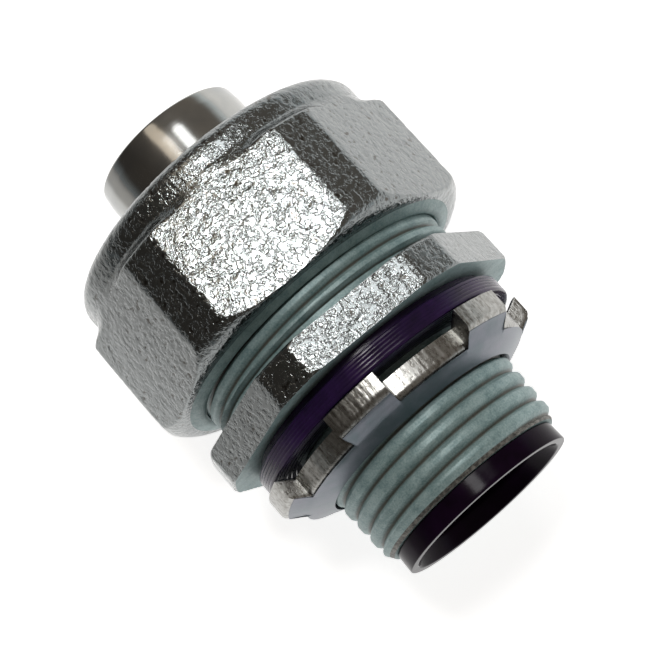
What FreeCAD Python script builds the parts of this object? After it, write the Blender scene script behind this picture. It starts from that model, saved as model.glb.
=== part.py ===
import FreeCAD, Part
import math
import os

# Straight liquid-tight compression fitting for 1/2 in flexible metal conduit, in millimetres.
# The axis is X, the threaded nose points to +X and the conduit enters from -X.
# The origin is on the axis, at the flange face that the sealing ring bears on.
# Angles about the axis are right-handed about +X and start at +Z.

Vec = FreeCAD.Vector
ORIGIN = Vec(0, 0, 0)
AXIS = Vec(1, 0, 0)

# Standard threads
INCH = 25.4
NOSE_PITCH = INCH / 14
NOSE_R = 10.67
NOSE_DEPTH = 1.05
NOSE_CREST_X = 10.25
NECK_PITCH = INCH / 16
NECK_R = 14.65
NECK_DEPTH = 0.85
NECK_CREST_X = -7.0
CREST_FLAT = 0.28
UNDERCUT = 0.12

# Where the seams of turned faces lie, away from the starts of the helical grooves
SEAM = 135
NUT_SEAM = 45
THREAD_RADIAL_GAP = 0.16
THREAD_FLANK_GAP = 0.08

# Body casting
FLANGE_T = 3.8
FLANGE_FLAT = 16.05
FLANGE_CORNER = 17.45
FLANGE_TURN = -7.3
FLANGE_BEVEL = 0.45
NOSE_END = 14.9
NOSE_RELIEF = 1.2
NOSE_CHAMFER = 0.8
NECK_END = -17.6
NECK_RELIEF = 1.1
CHAMBER_R = 12.35
SHOULDER_X = -8.0
LINER_SEAT_X = -2.0
BODY_BORE_R = 8.0

# Throat liner
LINER_OUT_R = 8.6
LINER_BORE_R = 7.95
LINER_LIP_R = 9.7
LINER_END = 17.0
LINER_EDGE = 0.15
LINER_FLARE = 0.45

# Face sealing ring
SEAL_BACK = 0.05
SEAL_GROOVE = 0.75
SEAL_END = 2.8
SEAL_BORE_R = 10.95
SEAL_R = 15.05
SEAL_STEP = 1.0
SEAL_BEVEL = 0.2

# Locknut
LOCK_T = 2.4
LOCK_RIM_R = 13.8
LOCK_RIM_BACK = 4.02
LOCK_HOLE_BACK = 5.1
LUG_R = 15.65
LUG_BACK = 3.07
LUG_COUNT = 6
LUG_WIDTH_DEG = 24
LUG_TURN = 13.3

# Compression nut
NUT_BACK = -24.3
NUT_FACE = -7.4
NUT_FLAT = 17.36
NUT_CORNER = 18.95
NUT_COLLAR_END = -21.0
NUT_CORNER_START = -19.4
NUT_EDGE = -7.8
NUT_EDGE_ROUND = 2.6
NUT_FACE_R = 15.5
NUT_BACK_ROUND = 1.6
NUT_THREAD_END = -17.9
NUT_RELIEF_R = 14.85
NUT_SEAT_START = -19.4
NUT_SEAT_END = -21.7
NUT_SEAT_R = 14.05
NUT_SEAT_SMALL_R = 12.25
NUT_MOUTH_R = 10.95
NUT_MOUTH_ROUND = 0.6

# Gland ring
GLAND_BORE_R = 10.7
GLAND_NOSE_R = 12.2
GLAND_R = 13.7
GLAND_FRONT = -16.1
GLAND_STEP = -18.9
GLAND_RIM_T = 0.7
GLAND_BACK = -21.5

# Ferrule
FERRULE_END = -31.8
FERRULE_R = 8.45
FERRULE_WALL = 0.9
FERRULE_LIP_R = 8.3
FERRULE_LIP_L = 1.7
FERRULE_EDGE = 0.3
FERRULE_FACE = -9.25
SKIRT_END = -16.0
SKIRT_R = 12.2
SKIRT_RIB_R = 10.62
RIB_DEPTH = 0.5
RIB_PITCH = 2.0
RIB_FLAT = 0.45


def revolved(outline, sweep=360, start=SEAM):
    """A solid of revolution about X from (x, radius) points, from the angle start over sweep degrees."""
    points = [Vec(x, r, 0) for x, r in outline]
    face = Part.Face(Part.makePolygon(points + points[:1]))
    solid = face.revolve(ORIGIN, AXIS, sweep)
    solid.rotate(ORIGIN, AXIS, start + 90)
    return solid


def rounded(centre, radius, start, end, steps=5):
    """Points of an arc in the (x, radius) plane, angles in degrees from +X."""
    angles = [math.radians(start + (end - start) * k / steps) for k in range(steps + 1)]
    return [(centre[0] + radius * math.cos(a), centre[1] + radius * math.sin(a)) for a in angles]


def cut_corner_hexagon(flat, corner, x0, x1, turn):
    """A hexagonal prism with its corners cut off: flat is the apothem and corner the largest radius."""
    half = math.degrees(math.acos(flat / corner))
    angles = [math.radians(turn + 60 * k + side * half) for k in range(6) for side in (-1, 1)]
    points = [Vec(x0, -corner * math.sin(a), corner * math.cos(a)) for a in angles]
    face = Part.Face(Part.makePolygon(points + points[:1]))
    return face.extrude(Vec(x1 - x0, 0, 0))


def helical_cutter(pitch, centre_x, x0, x1, section):
    """A right-hand helical groove tool about X.

    section is (inner radius, width there, outer radius, width there). centre_x is where
    the groove's middle crosses the angle 0, and the tool covers x0 to x1.
    """
    r_in, w_in, r_out, w_out = section
    lead_in = math.floor((x0 - centre_x) / pitch) - 0.5
    begin = centre_x + lead_in * pitch
    helix = Part.makeHelix(pitch, x1 - begin + pitch, (r_in + r_out) / 2)
    corners = [Vec(r_in, 0, -w_in / 2), Vec(r_out, 0, -w_out / 2),
               Vec(r_out, 0, w_out / 2), Vec(r_in, 0, w_in / 2)]
    profile = Part.makePolygon(corners + corners[:1])
    tool = Part.Wire(helix.Edges).makePipeShell([profile], True, True)
    tool.rotate(ORIGIN, Vec(0, 1, 0), 90)
    tool.translate(Vec(begin, 0, 0))
    return tool


def flank_slope(pitch, depth):
    return (pitch - 2 * CREST_FLAT) / 2 / depth


def male_cutter(radius, pitch, depth, crest_x, x0, x1):
    """The groove between the crests of an outside thread."""
    over = 0.1
    slope = flank_slope(pitch, depth)
    section = (radius - depth, CREST_FLAT, radius + over, CREST_FLAT + 2 * slope * (depth + over))
    return helical_cutter(pitch, crest_x + pitch / 2, x0, x1, section)


def female_cutter(radius, pitch, depth, crest_x, x0, x1):
    """The groove of an inside thread that runs on the outside thread with a small gap."""
    slope = flank_slope(pitch, depth)
    inner = radius - depth + THREAD_RADIAL_GAP - 0.1
    outer = radius + THREAD_RADIAL_GAP
    widths = [CREST_FLAT + 2 * slope * (radius - r) + 2 * THREAD_FLANK_GAP for r in (inner, outer)]
    return helical_cutter(pitch, crest_x, x0, x1, (inner, widths[0], outer, widths[1]))


def nose_blank():
    root = NOSE_R - NOSE_DEPTH - UNDERCUT
    return revolved([(-1, 0), (-1, root), (NOSE_RELIEF, root), (NOSE_RELIEF + NOSE_DEPTH / 2, NOSE_R),
                     (NOSE_END - NOSE_CHAMFER, NOSE_R), (NOSE_END, NOSE_R - NOSE_CHAMFER), (NOSE_END, 0)])


def neck_blank():
    root = NECK_R - NECK_DEPTH - UNDERCUT
    back = -FLANGE_T - NECK_RELIEF
    return revolved([(1 - FLANGE_T, 0), (1 - FLANGE_T, root), (back, root), (back - NECK_DEPTH / 2, NECK_R),
                     (NECK_END + NECK_DEPTH, NECK_R), (NECK_END, root), (NECK_END, 0)])


def threaded_nose():
    first = NOSE_RELIEF / 2
    last = NOSE_END + NOSE_PITCH / 2
    return nose_blank().cut(male_cutter(NOSE_R, NOSE_PITCH, NOSE_DEPTH, NOSE_CREST_X, first, last))


def threaded_neck():
    first = NECK_END - NECK_PITCH / 2
    last = -FLANGE_T - NECK_RELIEF / 2
    return neck_blank().cut(male_cutter(NECK_R, NECK_PITCH, NECK_DEPTH, NECK_CREST_X, first, last))


def body():
    flange = cut_corner_hexagon(FLANGE_FLAT, FLANGE_CORNER, -FLANGE_T, 0, FLANGE_TURN)
    edge = FLANGE_CORNER - FLANGE_BEVEL
    flange = flange.common(revolved([(-FLANGE_T, 0), (-FLANGE_T, edge), (FLANGE_BEVEL - FLANGE_T, FLANGE_CORNER),
                                     (-FLANGE_BEVEL, FLANGE_CORNER), (0, edge), (0, 0)]))
    solid = flange.fuse([threaded_nose(), threaded_neck()])
    lead = 0.5
    passage = revolved([(NECK_END - 1, 0), (NECK_END - 1, CHAMBER_R + lead), (NECK_END, CHAMBER_R + lead),
                        (NECK_END + lead, CHAMBER_R), (SHOULDER_X, CHAMBER_R), (SHOULDER_X, BODY_BORE_R),
                        (LINER_SEAT_X, BODY_BORE_R), (LINER_SEAT_X, LINER_OUT_R), (NOSE_END + 1, LINER_OUT_R),
                        (NOSE_END + 1, 0)])
    return solid.cut(passage)


def throat_liner():
    edge, flare = LINER_EDGE, LINER_FLARE
    outline = [(LINER_SEAT_X + 0.1, LINER_BORE_R), (LINER_SEAT_X + 0.1, LINER_OUT_R), (NOSE_END, LINER_OUT_R),
               (NOSE_END, LINER_LIP_R)]
    outline += rounded((LINER_END - edge, LINER_LIP_R - edge), edge, 90, 0, 2)
    outline += rounded((LINER_END - flare, LINER_BORE_R + flare), flare, 0, -90)
    return revolved(outline)


def face_seal():
    low = SEAL_R - SEAL_STEP
    return revolved([(SEAL_BACK, SEAL_BORE_R), (SEAL_BACK, low), (SEAL_BACK + SEAL_GROOVE, low),
                     (SEAL_BACK + SEAL_GROOVE, SEAL_R - SEAL_BEVEL), (SEAL_BACK + SEAL_GROOVE + SEAL_BEVEL, SEAL_R),
                     (SEAL_END - SEAL_BEVEL, SEAL_R), (SEAL_END, SEAL_R - SEAL_BEVEL), (SEAL_END, SEAL_BORE_R)])


def locknut():
    """A dished stamping: a conical ring with its lugs bent back towards the sealing ring."""
    hole = NOSE_R - NOSE_DEPTH + THREAD_RADIAL_GAP
    ring = revolved([(LOCK_HOLE_BACK, hole), (LOCK_RIM_BACK, LOCK_RIM_R), (LOCK_RIM_BACK + LOCK_T, LOCK_RIM_R),
                     (LOCK_HOLE_BACK + LOCK_T, hole)])
    root_r = LOCK_RIM_R - 0.6
    root_back = LOCK_RIM_BACK + 0.15
    lugs = []
    for k in range(LUG_COUNT):
        start = LUG_TURN + 360 / LUG_COUNT * k - LUG_WIDTH_DEG / 2
        lugs.append(revolved([(root_back, root_r), (LUG_BACK, LUG_R), (LUG_BACK + LOCK_T, LUG_R),
                              (root_back + LOCK_T, root_r)], LUG_WIDTH_DEG, start))
    cutter = female_cutter(NOSE_R, NOSE_PITCH, NOSE_DEPTH, NOSE_CREST_X, LUG_BACK, LOCK_HOLE_BACK + LOCK_T + 1)
    return ring.fuse(lugs).removeSplitter().cut(cutter)


def nut_outside():
    """The casting's outer shape: round collar, sloping shoulder, hexagon and rounded front edge."""
    prism = cut_corner_hexagon(NUT_FLAT, NUT_CORNER, NUT_BACK, NUT_FACE, 0)
    collar = NUT_FLAT - 0.06
    outline = [(NUT_BACK, 0)]
    outline += rounded((NUT_BACK + NUT_BACK_ROUND, collar - NUT_BACK_ROUND), NUT_BACK_ROUND, 180, 90)
    full = NUT_CORNER + 0.05
    outline += [(NUT_COLLAR_END, collar), (NUT_CORNER_START, full)]
    outline += rounded((NUT_EDGE - NUT_EDGE_ROUND, full - NUT_EDGE_ROUND), NUT_EDGE_ROUND, 90, 10, 4)
    outline += [(NUT_FACE, NUT_FACE_R), (NUT_FACE, 0)]
    return prism.common(revolved(outline))


def compression_nut():
    bore = NECK_R - NECK_DEPTH + THREAD_RADIAL_GAP
    edge = NUT_MOUTH_ROUND
    void = [(NUT_FACE + 1, 0), (NUT_FACE + 1, NECK_R + 0.3), (NUT_FACE, NECK_R + 0.3),
            (NUT_FACE - NECK_DEPTH, bore), (NUT_THREAD_END, bore), (NUT_THREAD_END, NUT_RELIEF_R),
            (NUT_SEAT_START, NUT_RELIEF_R), (NUT_SEAT_START, NUT_SEAT_R), (NUT_SEAT_END, NUT_SEAT_SMALL_R),
            (NUT_SEAT_END, NUT_MOUTH_R), (NUT_BACK + edge, NUT_MOUTH_R), (NUT_BACK, NUT_MOUTH_R + edge),
            (NUT_BACK - 1, NUT_MOUTH_R + edge), (NUT_BACK - 1, 0)]
    middle = (NUT_THREAD_END + NUT_SEAT_START) / 2
    helix_start = middle + 0.1
    cutter = female_cutter(NECK_R, NECK_PITCH, NECK_DEPTH, NECK_CREST_X, helix_start, NUT_FACE + 1)
    return nut_outside().cut(revolved(void, start=NUT_SEAM)).cut(cutter)


def gland_ring():
    return revolved([(GLAND_FRONT, GLAND_BORE_R), (GLAND_FRONT, GLAND_NOSE_R), (GLAND_STEP, GLAND_NOSE_R),
                     (GLAND_STEP, GLAND_R), (GLAND_STEP - GLAND_RIM_T, GLAND_R), (GLAND_BACK, GLAND_NOSE_R),
                     (GLAND_BACK, GLAND_BORE_R)])


def ferrule():
    """A deep-drawn sleeve: the tube enters the conduit and the ribbed skirt screws over its jacket."""
    bore = FERRULE_R - FERRULE_WALL
    web = FERRULE_FACE - FERRULE_WALL
    outline = [(FERRULE_END, bore + 0.2), (FERRULE_END, FERRULE_LIP_R - FERRULE_EDGE),
               (FERRULE_END + FERRULE_EDGE, FERRULE_LIP_R), (FERRULE_END + FERRULE_LIP_L, FERRULE_R), (web, FERRULE_R),
               (web, SKIRT_RIB_R), (SKIRT_END, SKIRT_RIB_R), (SKIRT_END, SKIRT_R), (FERRULE_FACE, SKIRT_R),
               (FERRULE_FACE, bore), (FERRULE_END + FERRULE_LIP_L, bore)]
    rib_r = SKIRT_RIB_R + RIB_DEPTH
    section = (SKIRT_RIB_R - 0.1, RIB_PITCH - RIB_FLAT, rib_r, RIB_PITCH - 2 * RIB_FLAT)
    last = web - RIB_PITCH
    cutter = helical_cutter(RIB_PITCH, last, SKIRT_END - RIB_PITCH, last - RIB_PITCH, section)
    return revolved(outline).cut(cutter)


PIECES = {
    "body": body,
    "throat_liner": throat_liner,
    "face_seal": face_seal,
    "locknut": locknut,
    "compression_nut": compression_nut,
    "gland_ring": gland_ring,
    "ferrule": ferrule,
}

os.makedirs("parts", exist_ok=True)
for node, make in PIECES.items():
    shape = make()
    solids = shape.Solids
    print(node, "valid" if shape.isValid() else "INVALID", len(solids), round(shape.Volume, 1))
    solids[0].exportStep(f"parts/{node}.step")
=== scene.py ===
import math

import bpy
import numpy as np
from mathutils import Matrix, Vector, noise


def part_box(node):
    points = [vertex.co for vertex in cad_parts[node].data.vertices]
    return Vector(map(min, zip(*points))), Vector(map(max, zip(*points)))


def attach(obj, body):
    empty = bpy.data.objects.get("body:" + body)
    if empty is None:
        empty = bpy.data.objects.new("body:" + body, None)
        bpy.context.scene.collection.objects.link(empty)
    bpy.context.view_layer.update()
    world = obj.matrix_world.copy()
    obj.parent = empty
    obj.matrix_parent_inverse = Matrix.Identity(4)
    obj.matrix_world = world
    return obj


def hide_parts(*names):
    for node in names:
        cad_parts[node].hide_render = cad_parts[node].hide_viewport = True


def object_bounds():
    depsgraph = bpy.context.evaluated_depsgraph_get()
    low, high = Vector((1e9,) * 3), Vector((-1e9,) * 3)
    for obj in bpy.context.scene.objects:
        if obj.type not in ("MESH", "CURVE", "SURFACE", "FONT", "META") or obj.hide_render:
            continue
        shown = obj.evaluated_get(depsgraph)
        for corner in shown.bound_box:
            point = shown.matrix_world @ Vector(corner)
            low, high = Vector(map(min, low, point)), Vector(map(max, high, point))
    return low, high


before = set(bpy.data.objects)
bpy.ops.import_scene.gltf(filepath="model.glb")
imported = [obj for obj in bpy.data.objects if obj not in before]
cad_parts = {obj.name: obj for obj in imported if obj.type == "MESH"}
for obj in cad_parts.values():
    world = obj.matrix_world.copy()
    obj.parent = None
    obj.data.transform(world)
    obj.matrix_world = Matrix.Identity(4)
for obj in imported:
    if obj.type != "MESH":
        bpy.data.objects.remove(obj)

CAD_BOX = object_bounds()

# Shapes are worked out in millimetres; MM turns them into Blender's metres.
MM = 0.001
INCH = 25.4
TURN = 2 * math.pi


def extent(node):
    """(lowest x, highest x, largest radius) of a CAD node, in millimetres."""
    low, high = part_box(node)
    return low.x / MM, high.x / MM, max(high.y, high.z, -low.y, -low.z) / MM


BODY_X0, BODY_X1, _ = extent("body")
NUT_X0, NUT_X1, _ = extent("compression_nut")
LOCK_X0, _, LOCK_R = extent("locknut")
SEAL_X0, SEAL_X1, SEAL_R = extent("face_seal")
LINER_X0, LINER_X1, LINER_R = extent("throat_liner")
FERRULE_X0, FERRULE_X1, FERRULE_R = extent("ferrule")
GLAND_X0, GLAND_X1, GLAND_R = extent("gland_ring")

# Threads. The pitches, the crests' radii and their places along X are the CAD's. The CAD's grooves
# are deeper and its nose is straight: here the crests are broad, and the nose has a pipe taper.
NOSE_PITCH = INCH / 14
NOSE_R = 10.67
NOSE_DEPTH = 0.58
NOSE_CREST_X = 10.25
NOSE_TAPER = 1 / 32  # radius lost with each millimetre towards +X
NOSE_GAUGE_X = 11.5  # where the tapered crests have the radius NOSE_R
NECK_PITCH = INCH / 16
NECK_R = 14.65
NECK_DEPTH = 0.55
NECK_CREST_X = -7.0
CREST_SHARE = 0.4  # of the pitch that is flat crest
ROOT_SHARE = 0.05  # of the pitch that is flat root
FLANK_EASE = 0.25  # how much of the flank's shape is an S curve
THREAD_GAP = 0.16  # between an outside thread and the inside thread on it, along the radius
ROOT_RELIEF = 0.12  # how far the plain parts beside a thread lie under its root

# Hexagons with their corners cut off: the radii of their flats and corners
NUT_FLAT = 17.36
NUT_CORNER = 18.95
FLANGE_T = 3.8
FLANGE_FLAT = 16.05
FLANGE_CORNER = 17.45
FLANGE_TURN = math.radians(-7.3)

WELD_PER_MM = 1e4  # points that round to the same 1 / WELD_PER_MM are welded
SHARP_ANGLE = math.radians(38)


# ---------------------------------------------------------------- turned shells

def soft_min(a, b, k):
    """The smaller of a and b, rounded over about k where they meet."""
    h = np.clip(0.5 + 0.5 * (np.asarray(b) - a) / k, 0, 1)
    return b * (1 - h) + a * h - k * h * (1 - h)


def smooth_step(t):
    """An S curve from 0 to 1."""
    t = np.clip(t, 0, 1)
    return t * t * (3 - 2 * t)


def arc(centre, radius, start, end, steps=6):
    """Points of an arc in the (x, radius) plane, angles in degrees from +X."""
    angles = np.radians(np.linspace(start, end, steps + 1))
    return [(centre[0] + radius * math.cos(a), centre[1] + radius * math.sin(a)) for a in angles]


def even_angles(count):
    """count angles round the circle, evenly spaced from 0."""
    return np.arange(count) * TURN / count


def polygon_radius(w, flat, corner, turn, k):
    """Radius of a hexagon with cut corners, its twelve edges rounded over k."""
    half = math.acos(flat / corner)
    cut = corner * math.cos(math.pi / 6 - half)
    sides = [(turn + side * math.pi / 3, flat) for side in range(6)]
    sides += [(turn + (side + 0.5) * math.pi / 3, cut) for side in range(6)]
    far, grazing = 2.0 * corner, 0.3
    radius = np.full(w.shape, far)
    for angle, apothem in sides:
        facing = np.cos(w - angle)
        reach = np.where(facing > grazing, apothem / np.maximum(facing, grazing), far)
        radius = soft_min(radius, reach, k)
    return radius


def thread_cut(x, w, pitch, crest_x, depth):
    """How far the thread lies under its crest at x and the angle w."""
    phase = (x - crest_x) / pitch - w / TURN
    away = np.abs(phase - np.round(phase))
    t = np.clip((away - CREST_SHARE / 2) / ((1 - CREST_SHARE - ROOT_SHARE) / 2), 0, 1)
    return depth * ((1 - FLANK_EASE) * t + FLANK_EASE * smooth_step(t))


class Shell:
    """A closed skin round the X axis, built from rows of points and joined into a loop.

    Angles are right-handed about +X and start at +Z. A row holds an x, a radius and a grain, which
    scales the cast texture, for each angle. The slot of a run is its place in build's materials.
    """

    def __init__(self, angles, x, r):
        self.w = np.asarray(angles, float)
        self.rows, self.grain, self.quads, self.slots = [], [], [], []
        self.at = (x, r)
        self._row(x, r, 0.0)

    def _row(self, x, r, grain):
        x, r, grain = (np.broadcast_to(value, self.w.shape).astype(float) for value in (x, r, grain))
        self.rows.append((x, r))
        self.grain.append(grain)

    def _join(self, a, b, slot, shift=0, first=0, last=None):
        """Quads between rows a and b. Past the last angle they meet rows a + shift and b + shift."""
        n = len(self.w)
        last = len(self.rows) - 1 if last is None else last
        j = np.arange(n - 1)
        self.quads.append(np.stack([a * n + j, a * n + j + 1, b * n + j + 1, b * n + j], 1))
        self.slots.append(np.full(n - 1, slot))
        c, d = a + shift, b + shift
        if first <= min(c, d) and max(c, d) <= last:
            self.quads.append(np.array([[a * n + n - 1, c * n, d * n, b * n + n - 1]]))
            self.slots.append(np.array([slot]))

    def run(self, points, step, slot=0, grain=0.0, shape=None):
        """Straight runs to each (x, r) point in rows step apart; shape(x, r) may bend a row."""
        for x1, r1 in points:
            x0, r0 = self.at
            count = max(1, math.ceil(math.hypot(x1 - x0, r1 - r0) / step))
            for t in np.arange(1, count + 1) / count:
                x, r = x0 + (x1 - x0) * t, r0 + (r1 - r0) * t
                if shape:
                    x, r = shape(x, r)
                self._row(x, r, grain)
                self._join(len(self.rows) - 2, len(self.rows) - 1, slot)
            self.at = (x1, r1)

    def helix(self, x1, pitch, per_turn, radius, slot=0):
        """Rows that follow the helix to x1, so that crests stay sharp; radius(x, w) is the surface."""
        x0 = self.at[0]
        length, sign = abs(x1 - x0), 1 if x1 > x0 else -1
        step = pitch / per_turn
        lead = self.w / TURN * pitch
        first = len(self.rows) - 1
        for s in range(1, math.ceil((length + pitch) / step) + 1):
            along = s * step + (lead - pitch if sign > 0 else -lead)
            x = x0 + sign * np.clip(along, 0, length)
            self._row(x, radius(x, self.w), 0.0)
        last = len(self.rows) - 1
        for a in range(first, last):
            self._join(a, a + 1, slot, sign * per_turn, first, last)
        self.at = (x1, float(self.rows[-1][1][0]))

    def close(self, slot=0):
        """Joins the last row to the first."""
        self._join(len(self.rows) - 1, 0, slot)

    def build(self, name, materials, texture=None):
        """Makes the mesh: welds doubled points, drops collapsed faces and adds the cast texture."""
        x = np.concatenate([row[0] for row in self.rows])
        r = np.concatenate([row[1] for row in self.rows])
        w = np.tile(self.w, len(self.rows))
        points = np.stack([x, -r * np.sin(w), r * np.cos(w)], 1)
        grain = np.concatenate(self.grain)
        keys = np.round(points * WELD_PER_MM).astype(np.int64)
        _, keep, index = np.unique(keys, axis=0, return_index=True, return_inverse=True)
        index = index.reshape(-1)
        quads = index[np.concatenate(self.quads)]
        slots = np.concatenate(self.slots)
        faces, face_slots = [], []
        for quad, slot in zip(quads.tolist(), slots.tolist()):
            face = list(dict.fromkeys(quad))
            if len(face) > 2:
                faces.append(face)
                face_slots.append(slot)
        mesh = bpy.data.meshes.new(name)
        mesh.from_pydata((points[keep] * MM).tolist(), [], faces)
        mesh.polygons.foreach_set("material_index", face_slots)
        mesh.polygons.foreach_set("use_smooth", [True] * len(faces))
        for material in materials:
            mesh.materials.append(material)
        mesh.update()
        if texture:
            roughen(mesh, grain[keep], texture)
        if mesh_volume(mesh) < 0:
            mesh.flip_normals()
        mesh.set_sharp_from_angle(angle=SHARP_ANGLE)
        piece = bpy.data.objects.new(name, mesh)
        bpy.context.scene.collection.objects.link(piece)
        return piece


def mesh_volume(mesh):
    """Six times the signed volume, to see which way the faces look."""
    co = np.empty(len(mesh.vertices) * 3)
    mesh.vertices.foreach_get("co", co)
    co = co.reshape(-1, 3)
    mesh.calc_loop_triangles()
    tri = np.empty(len(mesh.loop_triangles) * 3, int)
    mesh.loop_triangles.foreach_get("vertices", tri)
    a, b, c = (co[tri.reshape(-1, 3)[:, k]] for k in range(3))
    return float(np.einsum("ij,ij->i", a, np.cross(b, c)).sum())


def roughen(mesh, grain, texture):
    """Moves points along their normals by grain times texture(point in millimetres)."""
    count = len(mesh.vertices)
    co, normal = np.empty(count * 3), np.empty(count * 3)
    mesh.vertices.foreach_get("co", co)
    mesh.vertices.foreach_get("normal", normal)
    co, normal = co.reshape(-1, 3), normal.reshape(-1, 3)
    outward = 1 if mesh_volume(mesh) > 0 else -1
    for k in np.nonzero(grain)[0]:
        co[k] += normal[k] * (outward * grain[k] * texture(Vector(co[k] / MM)) * MM)
    mesh.vertices.foreach_set("co", co.reshape(-1))
    mesh.update()


def cast_texture(p):
    """Skin of a sand casting at p, in millimetres: broad waves, low lumps and a few pits."""
    waves, bumps, pits = (noise.noise(p * per_mm) for per_mm in (0.35, 0.9, 1.3))
    highest, deepest_pit, pit_level, pit_slope = 0.3, 0.7, -0.32, 6
    lumps = 0.5 * waves + 0.3 * bumps
    pit = max(0.0, pit_level - pits) * pit_slope
    return min(highest, lumps) - min(deepest_pit, pit)


# ---------------------------------------------------------------- materials

class Paint:
    """A node material under construction: coordinates in millimetres and a Principled shader."""

    def __init__(self, name):
        self.material = bpy.data.materials.new(name)
        self.material.use_nodes = True
        self.tree = self.material.node_tree
        self.shader = self.tree.nodes["Principled BSDF"]
        self.place = self.tree.nodes.new("ShaderNodeTexCoord").outputs["Object"]

    def node(self, kind, inputs=(), **settings):
        """A new node; each input is a value, or the output that feeds it."""
        made = self.tree.nodes.new("ShaderNode" + kind)
        for key, value in settings.items():
            setattr(made, key, value)
        for key, value in dict(inputs).items():
            socket = made.inputs[key]
            if isinstance(value, bpy.types.NodeSocket):
                self.tree.links.new(value, socket)
            else:
                socket.default_value = value
        return made

    def set(self, **values):
        """Sets the shader's own inputs, named with _ for each space."""
        for key, value in values.items():
            self.shader.inputs[key.replace("_", " ")].default_value = value

    def link(self, socket, name):
        self.tree.links.new(socket, self.shader.inputs[name])

    def coords(self, scale):
        """Object coordinates times scale per millimetre: one number, or one for each axis."""
        scales = scale if isinstance(scale, tuple) else (scale,) * 3
        factor = [s / MM for s in scales]
        return self.node("Mapping", {"Vector": self.place, "Scale": factor}).outputs["Vector"]

    def noise(self, scale, detail=3.0, rough=0.55):
        vector = self.coords(scale)
        return self.node("TexNoise", {"Vector": vector, "Scale": 1.0, "Detail": detail,
                                      "Roughness": rough}).outputs["Fac"]

    def ramp(self, fac, stops):
        """fac turned into a colour, through stops of (place, colour)."""
        made = self.node("ValToRGB", {"Fac": fac})
        ramp = made.color_ramp
        while len(ramp.elements) < len(stops):
            ramp.elements.new(0.5)
        for element, (where, colour) in zip(ramp.elements, stops):
            element.position = where
            element.color = (*colour, 1.0)
        return made.outputs["Color"]

    def remap(self, value, start, end, low=0.0, high=1.0, kind="LINEAR"):
        """low up to start, then along to high at end."""
        made = self.node("MapRange", {"Value": value, "From Min": start, "From Max": end,
                                      "To Min": low, "To Max": high}, interpolation_type=kind)
        return made.outputs["Result"]

    def span(self, fac, low, high):
        """fac from 0..1 to low..high."""
        return self.remap(fac, 0.0, 1.0, low, high)

    def math(self, operation, a, b):
        made = self.node("Math", operation=operation)
        for socket, value in zip(made.inputs, (a, b)):
            if isinstance(value, bpy.types.NodeSocket):
                self.tree.links.new(value, socket)
            else:
                socket.default_value = value
        return made.outputs["Value"]

    def bump(self, height, distance):
        """Bumps of this height, 0 to 1 standing for distance in millimetres."""
        made = self.node("Bump", {"Height": height, "Distance": distance * MM, "Strength": 1.0})
        self.link(made.outputs["Normal"], "Normal")


WHITE = (1.0, 1.0, 1.0)

# Places of the colour sockets of a Mix node, whose names are not unique
MIX_FACTOR, MIX_A, MIX_B, MIX_RESULT = 0, 6, 7, 2


def cast_zinc():
    """Bright zinc on a coarse casting: close flat lumps with darker, browner furrows between them."""
    paint = Paint("cast_zinc")
    rough = paint.noise(1.55, 3.0, 0.6)
    tops = paint.remap(rough, 0.385, 0.575, kind="SMOOTHSTEP")
    grains = paint.noise(4.0, 2.0, 0.5)
    furrow, skin = (0.085, 0.08, 0.072), (0.215, 0.23, 0.232)
    paint.link(paint.ramp(rough, [(0.32, furrow), (0.38, skin)]), "Base Color")
    paint.link(paint.span(grains, 0.1, 0.2), "Roughness")
    paint.set(Metallic=1.0)
    paint.bump(paint.math("ADD", tops, paint.math("MULTIPLY", grains, 0.5)), 0.034)
    return paint.material


def cut_zinc(name, root_r, taper):
    """Zinc on cut threads: satin blue-green grey with fine turning lines, and brown painted shade in
    the thread's root.

    root_r is the root's radius at x = 0, and taper what it loses with each millimetre along X.
    """
    paint = Paint(name)
    lines = paint.noise((9.0, 0.5, 0.5), 3.0)
    clouds = paint.noise(0.7, 4.0)
    grains = paint.noise(5.5, 2.0, 0.6)
    mottle = paint.math("MULTIPLY", paint.math("ADD", clouds, grains), 0.5)
    skin = paint.ramp(mottle, [(0.36, (0.155, 0.245, 0.25)), (0.62, (0.33, 0.44, 0.44))])
    along = paint.node("SeparateXYZ", {"Vector": paint.coords((1, 1, 1))}).outputs["X"]
    across = paint.node("VectorMath", {0: paint.coords((0, 1, 1))}, operation="LENGTH").outputs["Value"]
    height = paint.math("ADD", across, paint.math("MULTIPLY", along, taper))
    # Painted shade: a brown band darkens the thread's root, where shade falls between the flanks.
    root_shade_level = paint.math("ADD", height, paint.math("MULTIPLY", clouds, -0.16))
    rise = paint.remap(root_shade_level, root_r - 0.2, root_r + 0.16)
    root_shade_brown = (0.34, 0.25, 0.21)
    root_shade_tint = paint.ramp(rise, [(0.1, WHITE), (0.24, root_shade_brown), (0.42, root_shade_brown), (1.0, WHITE)])
    colour = paint.node("Mix", {MIX_FACTOR: 1.0, MIX_A: skin, MIX_B: root_shade_tint},
                        data_type="RGBA", blend_type="MULTIPLY")
    paint.link(colour.outputs[MIX_RESULT], "Base Color")
    paint.link(paint.span(lines, 0.38, 0.54), "Roughness")
    paint.set(Metallic=0.2)
    paint.bump(paint.math("ADD", lines, grains), 0.016)
    return paint.material


def rough_zinc():
    """The scuffed bevel at the end of the nose: dull, brownish and pitted."""
    paint = Paint("rough_zinc")
    scuffs = paint.noise(2.2, 3.0, 0.6)
    pit, worn = (0.05, 0.048, 0.042), (0.20, 0.195, 0.175)
    paint.link(paint.ramp(scuffs, [(0.4, pit), (0.62, worn)]), "Base Color")
    paint.link(paint.span(scuffs, 0.6, 0.4), "Roughness")
    paint.set(Metallic=0.3)
    paint.bump(scuffs, 0.04)
    return paint.material


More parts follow.
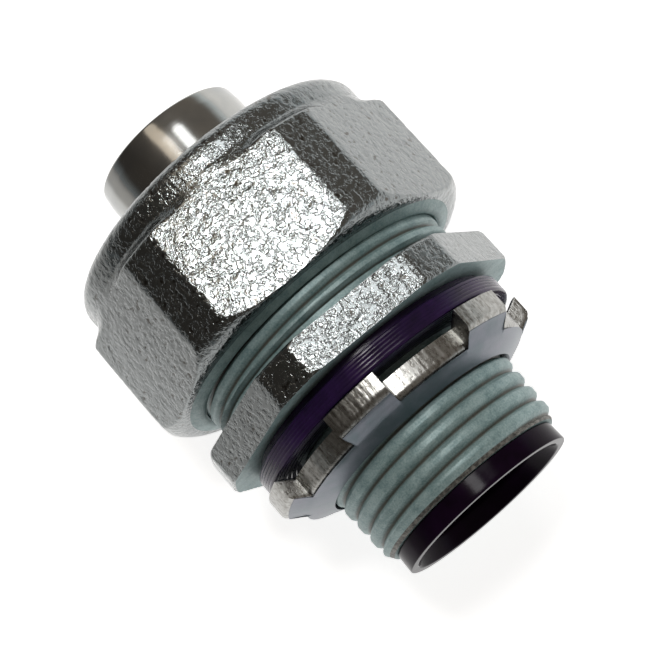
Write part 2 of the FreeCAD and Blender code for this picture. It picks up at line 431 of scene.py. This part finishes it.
def stamped_zinc():
    """Zinc on stamped sheet: smooth, blue to lilac grey."""
    paint = Paint("stamped_zinc")
    clouds = paint.noise(0.5, 4.0)
    fine = paint.noise(6.0, 2.0)
    blue, lilac = (0.11, 0.135, 0.15), (0.175, 0.18, 0.21)
    paint.link(paint.ramp(clouds, [(0.3, blue), (0.72, lilac)]), "Base Color")
    paint.link(paint.span(clouds, 0.26, 0.4), "Roughness")
    paint.set(Metallic=1.0)
    paint.bump(fine, 0.01)
    return paint.material


def sheared_zinc():
    """The sheared edges of the stamping: torn and glittering, with streaks along the axis."""
    paint = Paint("sheared_zinc")
    streaks = paint.noise((0.5, 3.5, 3.5), 3.0, 0.6)
    grains = paint.noise(2.4, 3.0, 0.6)
    torn = paint.math("MULTIPLY", paint.math("ADD", streaks, grains), 0.5)
    paint.link(paint.ramp(torn, [(0.4, (0.20, 0.195, 0.18)), (0.6, (0.40, 0.40, 0.385))]), "Base Color")
    paint.link(paint.span(torn, 0.2, 0.36), "Roughness")
    paint.set(Metallic=1.0)
    paint.bump(torn, 0.05)
    return paint.material


def drawn_steel():
    """Bright zinc over smooth drawn steel."""
    paint = Paint("drawn_steel")
    rings = paint.noise((5.0, 0.25, 0.25), 3.0)
    clouds = paint.noise(0.3, 3.0)
    paint.link(paint.ramp(clouds, [(0.3, (0.32, 0.33, 0.33)), (0.7, (0.40, 0.40, 0.38))]), "Base Color")
    paint.link(paint.span(clouds, 0.11, 0.18), "Roughness")
    paint.set(Metallic=1.0)
    paint.bump(rings, 0.004)
    return paint.material


def purple_plastic(name, low, high, rough, line_depth, shine):
    """Glossy plastic clouded from low to high, with turned lines of line_depth millimetres.

    rough is its least roughness, and shine its specular level.
    """
    paint = Paint(name)
    clouds = paint.noise(0.4, 3.0)
    lines = paint.noise((7.0, 0.4, 0.4), 2.0)
    paint.link(paint.ramp(clouds, [(0.3, low), (0.7, high)]), "Base Color")
    paint.link(paint.span(lines, rough, rough + 0.12), "Roughness")
    paint.set(IOR=1.45, Specular_IOR_Level=shine)
    paint.bump(lines, line_depth)
    return paint.material


def nylon():
    """Natural nylon: ivory, faintly translucent and softly mottled."""
    paint = Paint("nylon")
    clouds = paint.noise(0.6, 3.0)
    paint.link(paint.ramp(clouds, [(0.3, (0.66, 0.64, 0.57)), (0.7, (0.78, 0.76, 0.70))]), "Base Color")
    paint.link(paint.span(clouds, 0.4, 0.55), "Roughness")
    paint.set(Subsurface_Weight=0.1)
    paint.bump(paint.noise(4.0, 2.0), 0.02)
    return paint.material


CAST, SCUFFED = cast_zinc(), rough_zinc()
NOSE_CUT = cut_zinc("nose_zinc", NOSE_R + NOSE_TAPER * NOSE_GAUGE_X - NOSE_DEPTH, NOSE_TAPER)
NECK_CUT = cut_zinc("neck_zinc", NECK_R - NECK_DEPTH, 0.0)
STAMPED, SHEARED = stamped_zinc(), sheared_zinc()
DRAWN, NYLON = drawn_steel(), nylon()
LINER_PLASTIC = purple_plastic("liner_plastic", (0.005, 0.002, 0.006), (0.010, 0.003, 0.013),
                               rough=0.1, line_depth=0.004, shine=0.06)
SEAL_PLASTIC = purple_plastic("seal_plastic", (0.010, 0.004, 0.022), (0.028, 0.009, 0.060),
                              rough=0.14, line_depth=0.02, shine=0.3)


# ---------------------------------------------------------------- pieces

def make_nut():
    """Gland nut: round collar, cut-corner hexagon, threaded front and the gland's cone behind it."""
    back, front = NUT_X0, NUT_X1
    collar, back_round, mouth_r, edge = NUT_FLAT - 0.05, 1.6, 10.95, 0.6
    corner_start, edge_x, edge_round, face_r = -21.3, -7.8, 2.6, 15.3
    above = NUT_CORNER + 0.8  # clear of the hexagon, which cuts the outline back
    top = NUT_CORNER + 0.1
    round_x = edge_x - edge_round
    middle = (corner_start + edge_x) / 2
    bore_top = NECK_R + THREAD_GAP
    thread_end, thread_lead = -17.9, 0.5
    seat_x, seat_r, cone_x, cone_r = -19.4, 14.05, -21.7, 12.25
    w = even_angles(560)
    hexagon = polygon_radius(w, NUT_FLAT - 0.02, NUT_CORNER, 0.0, 0.18)

    # 0 in the middle of a flat, and 1 at its edges
    across = np.abs((w + math.pi / 6) % (math.pi / 3) - math.pi / 6) / math.radians(23.6)
    crown = 0.06 * np.minimum(across, 1) ** 2
    swell_l = 6.0 - 3.7 * smooth_step((across - 0.25) / 0.7)

    def outside(x, r):
        """Follows the outline, clipped by the hexagon, with a cast swell from collar to corners."""
        swell = collar + (above - collar) * smooth_step((x - corner_start) / swell_l)
        limit = r if x < corner_start else soft_min(r, swell, 0.15)
        end_fall = 0.04 * min(1.0, ((x - middle) / (middle - corner_start)) ** 2)
        blend = 0.02 + 0.14 * smooth_step((x - corner_start) / 1.2)
        return x, soft_min(limit, hexagon - crown - end_fall, blend)

    cut = 1
    shell = Shell(w, back, mouth_r + edge)
    shell.run([(back, collar - back_round)], 0.35, grain=0.03)
    back_edge = arc((back + back_round, collar - back_round), back_round, 180, 90)
    shell.run(back_edge, 0.25, grain=0.05, shape=outside)
    shell.run([(corner_start, collar)], 0.16, grain=0.05, shape=outside)
    shell.at = (corner_start, above)
    shell.run([(round_x, above)], 0.16, grain=0.05, shape=outside)
    shell.at = (round_x, top)
    front_edge = arc((round_x, top - edge_round), edge_round, 90, 0, 8)
    shell.run(front_edge[1:], 0.2, grain=0.03, shape=outside)
    shell.run([(front, face_r), (front, NECK_R + 0.3)], 0.3, cut)
    shell.run([(front - 0.1, bore_top)], 0.3, cut)

    def inside(x, w):
        """The inside thread, with a lead-in at the front and a run-out at the back."""
        entry = bore_top - np.minimum((front - x) / NECK_DEPTH, 1) * NECK_DEPTH
        end = bore_top - np.minimum((x - thread_end) / thread_lead, 1) * NECK_DEPTH
        ridge = bore_top - thread_cut(x, w, NECK_PITCH, NECK_CREST_X, NECK_DEPTH)
        return np.maximum(np.maximum(entry, end), ridge)

    shell.helix(thread_end, NECK_PITCH, 5, inside, cut)
    shell.run([(seat_x, bore_top), (seat_x, seat_r), (cone_x, cone_r), (cone_x, mouth_r),
               (back + edge, mouth_r)], 0.9)
    shell.close()
    nut = shell.build("nut_casting", [CAST, NECK_CUT], cast_texture)
    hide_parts("compression_nut")
    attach(nut, "nut")


def make_body():
    """Casting: threaded neck, cut-corner hexagonal flange, threaded nose and stepped bore."""
    back, front = BODY_X0, BODY_X1
    w = even_angles(480)
    hexagon = polygon_radius(w, FLANGE_FLAT, FLANGE_CORNER, FLANGE_TURN, 0.15)
    nose_root = NOSE_R - NOSE_DEPTH - ROOT_RELIEF
    neck_root = NECK_R - NECK_DEPTH - ROOT_RELIEF
    nose_back, scuffed = 1.2, 0.4
    neck_front = -FLANGE_T - 1.1
    chamber, liner_bore, body_bore, mouth_edge = 12.35, 8.6, 8.0, 0.5
    liner_seat, shoulder = -2.0, -8.0

    def nose(x, w):
        """The tapered nose thread, with a lead at each end."""
        tall = NOSE_R + NOSE_TAPER * (NOSE_GAUGE_X - x)
        start = nose_root + np.minimum((x - nose_back) / 0.6, 1) * (tall - nose_root)
        end = nose_root + np.minimum((front - x) / 0.9, 1) * (tall - nose_root)
        crest = tall - thread_cut(x, w, NOSE_PITCH, NOSE_CREST_X, NOSE_DEPTH)
        return np.minimum(np.minimum(start, end), crest)

    def neck(x, w):
        """The neck thread, with a lead at each end."""
        start = neck_root + np.minimum((neck_front - x) / 0.45, 1) * (NECK_R - neck_root)
        end = neck_root + np.minimum((x - back) / 0.85, 1) * (NECK_R - neck_root)
        crest = NECK_R - thread_cut(x, w, NECK_PITCH, NECK_CREST_X, NECK_DEPTH)
        return np.minimum(np.minimum(start, end), crest)

    def flange(x, r):
        return x, soft_min(np.full(w.shape, r), hexagon, 0.2)

    bevel = 0.45
    rim = FLANGE_CORNER + 0.2
    neck_cut, worn, nose_cut = 1, 2, 3
    shell = Shell(w, back, chamber + mouth_edge)
    shell.run([(back, neck_root)], 0.5, neck_cut)
    shell.helix(neck_front, NECK_PITCH, 12, neck, neck_cut)
    shell.run([(-FLANGE_T, neck_root)], 0.4, neck_cut)
    shell.run([(-FLANGE_T, rim - bevel)], 0.4, grain=0.02, shape=flange)
    shell.run([(bevel - FLANGE_T, rim), (-bevel, rim), (0, rim - bevel)], 0.19,
              grain=0.04, shape=flange)
    shell.run([(0, nose_root)], 0.4, nose_cut, shape=flange)
    shell.run([(nose_back, nose_root)], 0.6, nose_cut)
    shell.helix(front - scuffed, NOSE_PITCH, 12, nose, nose_cut)
    shell.helix(front, NOSE_PITCH, 12, nose, worn)
    shell.run([(front, liner_bore), (liner_seat, liner_bore), (liner_seat, body_bore),
               (shoulder, body_bore), (shoulder, chamber), (back + mouth_edge, chamber)],
              1.5, neck_cut)
    shell.close(neck_cut)
    body = shell.build("body_casting", [CAST, NECK_CUT, SCUFFED, NOSE_CUT], cast_texture)
    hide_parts("body")
    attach(body, "body")


def make_liner():
    """Throat liner: a sleeve in the nose, with a lip over its end and a flared mouth."""
    bore, sleeve_r, lip, flare, flare_edge = 7.95, 8.58, 0.12, 0.95, 0.2
    w = even_angles(240)
    shell = Shell(w, LINER_X0, bore)
    shell.run([(LINER_X0, sleeve_r), (BODY_X1 - 0.02, sleeve_r),
               (BODY_X1 + 0.02, LINER_R - 0.2)], 1.0)
    shell.run([(BODY_X1 + 0.1, LINER_R - 0.08), (BODY_X1 + 0.6, LINER_R - 0.05)], 0.2)
    shell.run([(LINER_X1 - lip, LINER_R)], 0.4)
    shell.run(arc((LINER_X1 - lip, LINER_R - lip), lip, 90, 0), 0.1)
    shell.run([(LINER_X1, bore + flare)], 0.1)
    shell.run(arc((LINER_X1 - flare_edge, bore + flare), flare_edge, 0, -60), 0.1)
    shell.run([(LINER_X1 - 1.6, bore + 0.05), (LINER_X1 - 2.2, bore)], 0.2)
    shell.close()
    liner = shell.build("throat_liner_moulding", [LINER_PLASTIC])
    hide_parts("throat_liner")
    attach(liner, "body")


def make_seal():
    """Sealing ring: a narrower back, turned lines round its rim and rings on its front face."""
    bore, low, step_x = 10.95, SEAL_R - 1.0, SEAL_X0 + 0.72
    first_line, line_pitch, lines = SEAL_X0 + 1.1, 0.36, 4
    first_ring, ring_pitch, rings = SEAL_R - 0.6, 0.6, 5
    w = even_angles(360)
    shell = Shell(w, SEAL_X0, bore)
    shell.run([(SEAL_X0, low), (step_x, low), (step_x + 0.03, SEAL_R - 0.2),
               (step_x + 0.18, SEAL_R - 0.03)], 0.3)
    for k in range(lines):
        x = first_line + line_pitch * k
        shell.run([(x, SEAL_R - 0.02), (x + 0.06, SEAL_R - 0.05), (x + 0.12, SEAL_R - 0.02),
                   (x + 0.2, SEAL_R)], 0.1)
    shell.run([(SEAL_X1 - 0.2, SEAL_R), (SEAL_X1 - 0.05, SEAL_R - 0.08), (SEAL_X1, SEAL_R - 0.25)],
              0.1)
    for k in range(rings):
        r = first_ring - ring_pitch * k
        shell.run([(SEAL_X1, r), (SEAL_X1 - 0.07, r - 0.08), (SEAL_X1, r - 0.16)], 0.2)
    shell.run([(SEAL_X1, bore)], 0.4)
    shell.close()
    seal = shell.build("sealing_ring", [SEAL_PLASTIC])
    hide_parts("face_seal")
    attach(seal, "seal")


def make_ferrule():
    """Grounding ferrule: a tube for the conduit's inside, a web, and a skirt with ribs inside it."""
    bore, tube, lip, lip_l = 7.55, 8.45, 0.3, 1.7
    web, web_edge, mouth_edge = FERRULE_X1 - 0.9, 0.6, 0.5
    skirt_end, rib_r, rib_depth, rib_pitch = -16.0, 10.62, 0.5, 2.0
    w = even_angles(240)

    def ribs(x, w):
        """The skirt's inside: a coarse helical rib, plain at both ends."""
        phase = x / rib_pitch - w / TURN
        away = np.abs(phase - np.round(phase)) * rib_pitch
        groove = rib_depth * smooth_step((away - 0.2) / 0.5)
        ends = np.minimum(np.minimum((x - skirt_end) / 0.6, (web - x) / 0.6), 1)
        return rib_r + groove * np.clip(ends, 0, 1)

    shell = Shell(w, FERRULE_X0, bore + 0.25)
    shell.run(arc((FERRULE_X0 + lip, tube - 0.15 - lip), lip, 180, 95), 0.1)
    shell.run([(FERRULE_X0 + lip_l, tube)], 0.4)
    shell.run([(web - 0.3, tube), (web, tube + 0.3), (web, rib_r)], 0.8)
    shell.helix(skirt_end, rib_pitch, 8, ribs)
    shell.run([(skirt_end, FERRULE_R - 0.2), (skirt_end + 0.2, FERRULE_R),
               (FERRULE_X1 - web_edge, FERRULE_R)], 0.8)
    shell.run(arc((FERRULE_X1 - web_edge, FERRULE_R - web_edge), web_edge, 90, 0), 0.2)
    shell.run([(FERRULE_X1, bore + mouth_edge)], 0.8)
    shell.run(arc((FERRULE_X1 - mouth_edge, bore + mouth_edge), mouth_edge, 0, -90), 0.2)
    shell.run([(FERRULE_X0 + lip_l, bore)], 1.5)
    shell.close()
    ferrule = shell.build("ferrule_sleeve", [DRAWN])
    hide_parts("ferrule")
    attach(ferrule, "ferrule")


def lug_angles():
    """Column angles for the locknut: even, and close together at the lug sides."""
    first, count, half = 13.3, 6, math.radians(12)
    lugs = [math.radians(first + 60 * k) for k in range(count)]
    tight = [centre + side * half + step for centre in lugs for side in (-1, 1)
             for step in (-0.02, -0.008, -0.002, 0.002, 0.008, 0.02)]
    spaced = [a for a in even_angles(420)
              if min(abs((a - t + math.pi) % TURN - math.pi) for t in tight) > 0.006]
    return lugs, half, np.array(sorted([t % TURN for t in tight] + spaced))


def make_locknut():
    """Locknut: a dished washer with six lugs bent back at its rim and a threaded hole."""
    lugs, half, w = lug_angles()
    widest = NOSE_R + NOSE_TAPER * (NOSE_GAUGE_X - LOCK_X0)
    rim_r, hole = 13.8, widest - NOSE_DEPTH + THREAD_GAP
    thick, rim_back, hole_back = 2.4, 4.02, 5.1
    roll_start, roll_depth = 0.75, 0.4
    bend_r = rim_r - 0.6
    side = np.zeros(w.shape)
    for centre in lugs:
        away = np.abs((w - centre + math.pi) % TURN - math.pi)
        side = np.maximum(side, smooth_step((half + 0.006 - away) / 0.012))
    ragged = np.array([noise.noise(Vector((math.cos(a) * 60, math.sin(a) * 60, 0))) for a in w])
    outer = rim_r + (LOCK_R - 0.04 - rim_r) * side + 0.03 * ragged
    bend = (LOCK_X0 - rim_back) * side
    slope = (rim_back - hole_back) / (rim_r - hole)

    def back_x(r, share):
        """Back face at radius r: the dish, and the lug's bend by its share."""
        return hole_back + slope * (np.minimum(r, rim_r) - hole) + bend * share

    def dish(front, r0, r1):
        """Rows on a dished face between the bend and the rim."""
        def shape(x, r):
            share = (r - r0) / (r1 - r0)
            radius = bend_r + share * (outer - bend_r)
            return back_x(radius, smooth_step(share)) + front, radius
        return shape

    shell = Shell(w, hole_back, hole + NOSE_DEPTH)
    shell.run([(hole_back + slope * (bend_r - hole), bend_r)], 0.4)
    shell.at = (0, 0)
    shell.run([(0, 1)], 0.12, shape=dish(0.0, 0, 1))

    def edge(x, r):
        """Rows up the sheared edge, with the die's roll at the front."""
        roll = roll_depth * np.clip((x - roll_start) / (1 - roll_start), 0, 1) ** 2
        return back_x(outer, 1.0) + thick * x, outer - roll

    sheared = 1
    shell.at = (0, 0)
    shell.run([(1, 0)], 0.1, sheared, shape=edge)
    shell.at = (0, 0.96)
    shell.run([(0, 0)], 0.12, shape=dish(thick, 0, 1))
    shell.at = (hole_back + thick + slope * (bend_r - hole), bend_r)
    shell.run([(hole_back + thick, hole + NOSE_DEPTH)], 0.4)
    top = widest + THREAD_GAP

    def inside(x, w):
        """The inside thread, cut back at both mouths of the hole."""
        ends = np.minimum((x - hole_back) / 0.5, (hole_back + thick - x) / 0.5)
        ridge = top - thread_cut(x, w, NOSE_PITCH, NOSE_CREST_X, NOSE_DEPTH)
        return np.maximum(top - np.clip(ends, 0, 1) * NOSE_DEPTH, ridge)

    shell.at = (hole_back + thick, top)
    shell.helix(hole_back, NOSE_PITCH, 10, inside)
    shell.close()
    lock = shell.build("locknut_stamping", [STAMPED, SHEARED])
    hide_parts("locknut")
    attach(lock, "locknut")


def make_gland():
    """Gland ring: a collar in the body's mouth, a band against the nut's seat and a cone behind."""
    bore, collar_r, chamfer_r = 10.7, 12.2, 12.0
    band_x1, band_full, band_x0 = -18.9, -19.0, -19.6
    shell = Shell(even_angles(180), GLAND_X1, bore)
    shell.run([(GLAND_X1, chamfer_r), (GLAND_X1 - 0.2, collar_r), (band_x1, collar_r),
               (band_x1, GLAND_R - 0.1), (band_full, GLAND_R), (band_x0, GLAND_R),
               (GLAND_X0, collar_r), (GLAND_X0, bore)], 0.5)
    shell.close()
    gland = shell.build("gland_moulding", [NYLON])
    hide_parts("gland_ring")
    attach(gland, "gland")


# ---------------------------------------------------------------- stage

def make_floor():
    """A wide pale sweep under the part. Its glow holds painted shade: it dims far out on the -Y side,
    where the side facets look.
    """
    away, fade_start, fade_end, painted_shade_dimmest = (-0.3, -0.954, 0), 0.046, 0.070, 0.25
    half, level = 3.0, CAD_BOX[0][2]
    paint = Paint("floor_paper_painted_shade")
    out = paint.node("VectorMath", {0: paint.place, 1: away}, operation="DOT_PRODUCT")
    # Painted shade: the floor's glow fades to a quarter on the -Y side, so the side facets there
    # reflect a darker floor.
    glow_and_painted_shade = paint.remap(out.outputs["Value"], fade_start, fade_end, 1.0, painted_shade_dimmest, "SMOOTHSTEP")
    paint.link(glow_and_painted_shade, "Emission Color")
    paint.set(Base_Color=(0.88, 0.88, 0.88, 1), Roughness=0.9, Emission_Strength=0.8)
    square = [(-half, -half, level), (half, -half, level), (half, half, level), (-half, half, level)]
    mesh = bpy.data.meshes.new("floor")
    mesh.from_pydata(square, [], [(0, 1, 2, 3)])
    mesh.materials.append(paint.material)
    floor = bpy.data.objects.new("floor", mesh)
    bpy.context.scene.collection.objects.link(floor)


# The view: the axis leans towards the camera by LEAN, the camera stands TWIST round the axis from
# straight above, and the nose points down the picture by ROLL.
LEAN = math.radians(14.0)
TWIST = math.radians(2.28)
ROLL = math.radians(48.4)
DISTANCE = 0.2059
LENS = 116.3
AIM = Vector((-6.96 * MM, -0.2 * MM, 0))


def view_axes():
    """Unit vectors of the picture's right, its up, and back towards the camera."""
    above = Vector((0, -math.sin(TWIST), math.cos(TWIST)))
    nose = Vector((1, 0, 0))
    toward = above * math.cos(LEAN) + nose * math.sin(LEAN)
    along = nose * math.cos(LEAN) - above * math.sin(LEAN)
    across = toward.cross(along)
    right = along * math.cos(ROLL) + across * math.sin(ROLL)
    up = across * math.cos(ROLL) - along * math.sin(ROLL)
    return right, up, toward


def make_camera():
    """The photograph's camera."""
    right, up, toward = view_axes()
    camera = bpy.data.objects.new("camera", bpy.data.cameras.new("camera"))
    camera.data.lens = LENS
    camera.data.clip_start = 0.01
    turn = Matrix((right, up, toward)).transposed()
    camera.matrix_world = Matrix.Translation(AIM + toward * DISTANCE) @ turn.to_4x4()
    bpy.context.scene.collection.objects.link(camera)
    bpy.context.scene.camera = camera


def area_light(name, place, aim, size, radiance, colour=(1, 1, 1)):
    """An oval lamp; place and aim in millimetres."""
    data = bpy.data.lights.new(name, "AREA")
    data.shape, data.size, data.size_y = "ELLIPSE", *size
    data.energy, data.color = radiance * math.pi ** 2 / 4 * size[0] * size[1], colour
    lamp = bpy.data.objects.new(name, data)
    lamp.location = Vector(place) * MM
    lamp.rotation_euler = (Vector(aim) - Vector(place)).to_track_quat("-Z", "Y").to_euler()
    bpy.context.scene.collection.objects.link(lamp)


def make_world():
    """A white surround that fades to a dark ceiling, dimmer on the -Y side."""
    world = bpy.data.worlds.new("studio")
    world.use_nodes = True
    tree = world.node_tree
    place = tree.nodes.new("ShaderNodeTexCoord")
    split = tree.nodes.new("ShaderNodeSeparateXYZ")
    ramp = tree.nodes.new("ShaderNodeValToRGB")
    pale, dark = ramp.color_ramp.elements
    pale.position, pale.color = 0.02, (0.72, 0.78, 0.80, 1)
    dark.position, dark.color = 0.24, (0.17, 0.15, 0.13, 1)
    side = tree.nodes.new("ShaderNodeMapRange")
    for socket, value in {"From Min": -0.7, "From Max": 0.4, "To Min": 0.4, "To Max": 1.35}.items():
        side.inputs[socket].default_value = value
    tree.links.new(place.outputs["Generated"], split.inputs[0])
    tree.links.new(split.outputs["Z"], ramp.inputs["Fac"])
    tree.links.new(ramp.outputs["Color"], tree.nodes["Background"].inputs["Color"])
    tree.links.new(split.outputs["Y"], side.inputs["Value"])
    tree.links.new(side.outputs["Result"], tree.nodes["Background"].inputs["Strength"])
    bpy.context.scene.world = world


def make_lights():
    """A key lamp high over the nut, and a warm and a cool one either side of it."""
    nut = ((NUT_X0 + NUT_X1) / 2, 0, 0)
    area_light("key", (-106, 30, 490), nut, (0.126, 0.12), 22)
    area_light("warm side", (-258, -40, 500), nut, (0.16, 0.40), 1.1, (1.0, 0.85, 0.68))
    area_light("cool side", (-165, 195, 470), nut, (0.16, 0.16), 3.6, (0.98, 0.99, 1.0))


make_nut()
make_body()
make_liner()
make_seal()
make_locknut()
make_ferrule()
make_gland()
make_floor()
make_world()
make_lights()
make_camera()
bpy.context.scene.view_settings.view_transform = "Standard"
